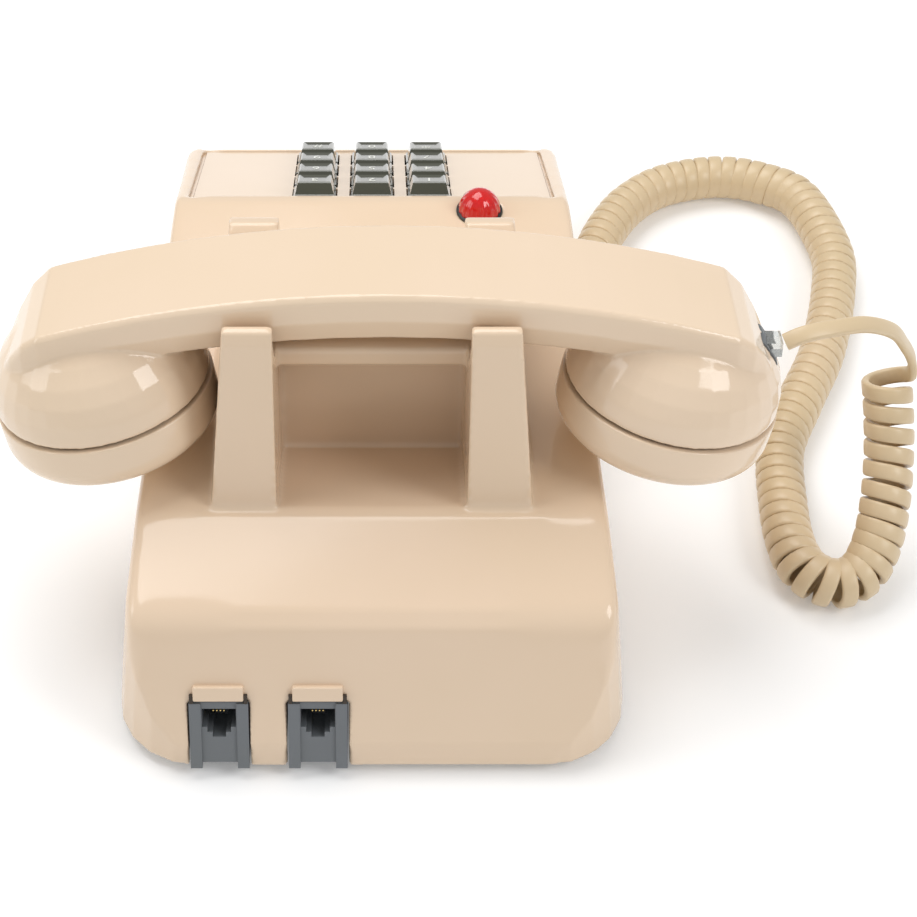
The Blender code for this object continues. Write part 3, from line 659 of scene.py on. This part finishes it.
def add_keypad_trim():
    """A thin step under the edge of the faceplate, which closes the opening around it."""
    face = Matrix.Translation(FACE_MIDDLE) @ Matrix.Rotation(FACE_SLOPE, 4, "X")
    outer, inner, low, high = (59.0, 36.0), (57.75, 34.75), -4.1, -2.4
    rings = []
    for half, z in ((outer, low), (outer, high), (inner, high), (inner, low)):
        rings += [(x * half[0], y * half[1], z) for x, y in ((-1, -1), (1, -1), (1, 1), (-1, 1))]
    faces = loft_faces(4, 4, caps=False)
    faces += [(12 + i, 12 + (i + 1) % 4, (i + 1) % 4, i) for i in range(4)]
    piece("keypad_trim", rings, faces, "housing_plastic", "base", "housing_plastic", None, face)


def add_key_legends():
    face = Matrix.Translation(FACE_MIDDLE * MM) @ Matrix.Rotation(FACE_SLOPE, 4, "X")
    rows = (("1", "2", "3"), ("4", "5", "6"), ("7", "8", "9"), ("star", "0", "hash"))
    signs = {"star": "*", "hash": "#"}
    for row, names in enumerate(rows):
        for column, name in enumerate(names):
            x, y = (column - 1) * COLUMN_PITCH, FIRST_ROW - row * ROW_PITCH
            z = PLATE_TOP + KEY_RISE - LEGEND_SINK
            place = face @ Matrix.Translation(Vector((x, y, z)) * MM)
            size = 7.5 if name == "star" else 5.6
            add_legend(f"legend_{name}", signs.get(name, name), size, place, f"body_key_{name}")


def jack_axes(x):
    """Axes of a rear jack: its mouth is at y = 0 and its z runs up the leaning wall."""
    mouth_y = REAR_Y - (JACK_Z - RIM_Z) * math.tan(REAR_LEAN) + 1.2
    place = Matrix.Translation(BASE + Vector((x, mouth_y, JACK_Z)))
    return place @ Matrix.Rotation(REAR_LEAN, 4, "X")


def block_of(low, high):
    corners = [
        (x, y, z)
        for x in (low[0], high[0]) for y in (low[1], high[1]) for z in (low[2], high[2])
    ]
    faces = [(0, 1, 3, 2), (4, 6, 7, 5), (0, 4, 5, 1), (2, 3, 7, 6), (0, 2, 6, 4), (1, 5, 7, 3)]
    return corners, faces


def ease_edges(made, width):
    edge = made.modifiers.new("eased", "BEVEL")
    edge.width = width * MM
    edge.segments = 2


def add_jack_details():
    for half_pitch, name in ((JACK_HALF_PITCH, "data"), (-JACK_HALF_PITCH, "line")):
        axes = jack_axes(JACK_MIDDLE_X + half_pitch)
        tab = piece(
            f"{name}_label_tab", *block_of((-7.2, -0.6, 15.6), (7.2, 1.25, 20.2)),
            "housing_plastic", "base", "housing_plastic", None, axes,
        )
        ease_edges(tab, 0.35)
        # Near-black strips in the seam colour beside the lower sides of each label tab: painted
        # shadow at the tab's edges.
        for side in (-1, 1):
            low, high = sorted((side * 7.25, side * 8.3))
            shadow_strip = piece(
                f"{name}_tab_gap_{'left' if side > 0 else 'right'}",
                *block_of((low, -0.4, 14.6), (high, 0.72, 17.4)), "seam", "base", None, None, axes,
            )
            ease_edges(shadow_strip, 0.1)
        for i in range(4):
            across = (i - 1.5) * 1.02
            pin, sides = block_of((across - 0.2, -10.5, 8.2), (across + 0.2, -2.2, 8.6))
            lean = Matrix.Rotation(math.radians(-14), 4, "X")
            turn = axes @ Matrix.Translation((0, 0, 3.2)) @ lean
            contact = f"{name}_contact_{i + 1}"
            ease_edges(piece(contact, pin, sides, "gold", "base", None, None, turn), 0.08)


# ---------------------------------------------------------------- CAD pieces that stay


def dress_nodes():
    """Each CAD node that still shows gets its slot's material and slightly broken edges."""
    slots = {row["node"]: row["material_slot"] for row in frame["record"]["subparts"]}
    for name, node in NODES.items():
        node.data.materials.clear()
        node.data.materials.append(LOOKS[slots[name]])
        if node.hide_render:
            continue
        edge = node.modifiers.new("broken_edges", "BEVEL")
        edge.width = 0.25 * MM
        edge.segments = 2
        edge.limit_method = "ANGLE"
        edge.angle_limit = math.radians(35.0)


add_camera()
add_cord()
add_stage()
add_housing()
add_handset()
for side, node in ((-1, "transmitter_cap"), (1, "receiver_cap")):
    add_cap(node, side)
add_lamp()
add_keypad_trim()
add_key_legends()
add_jack_details()
dress_nodes()
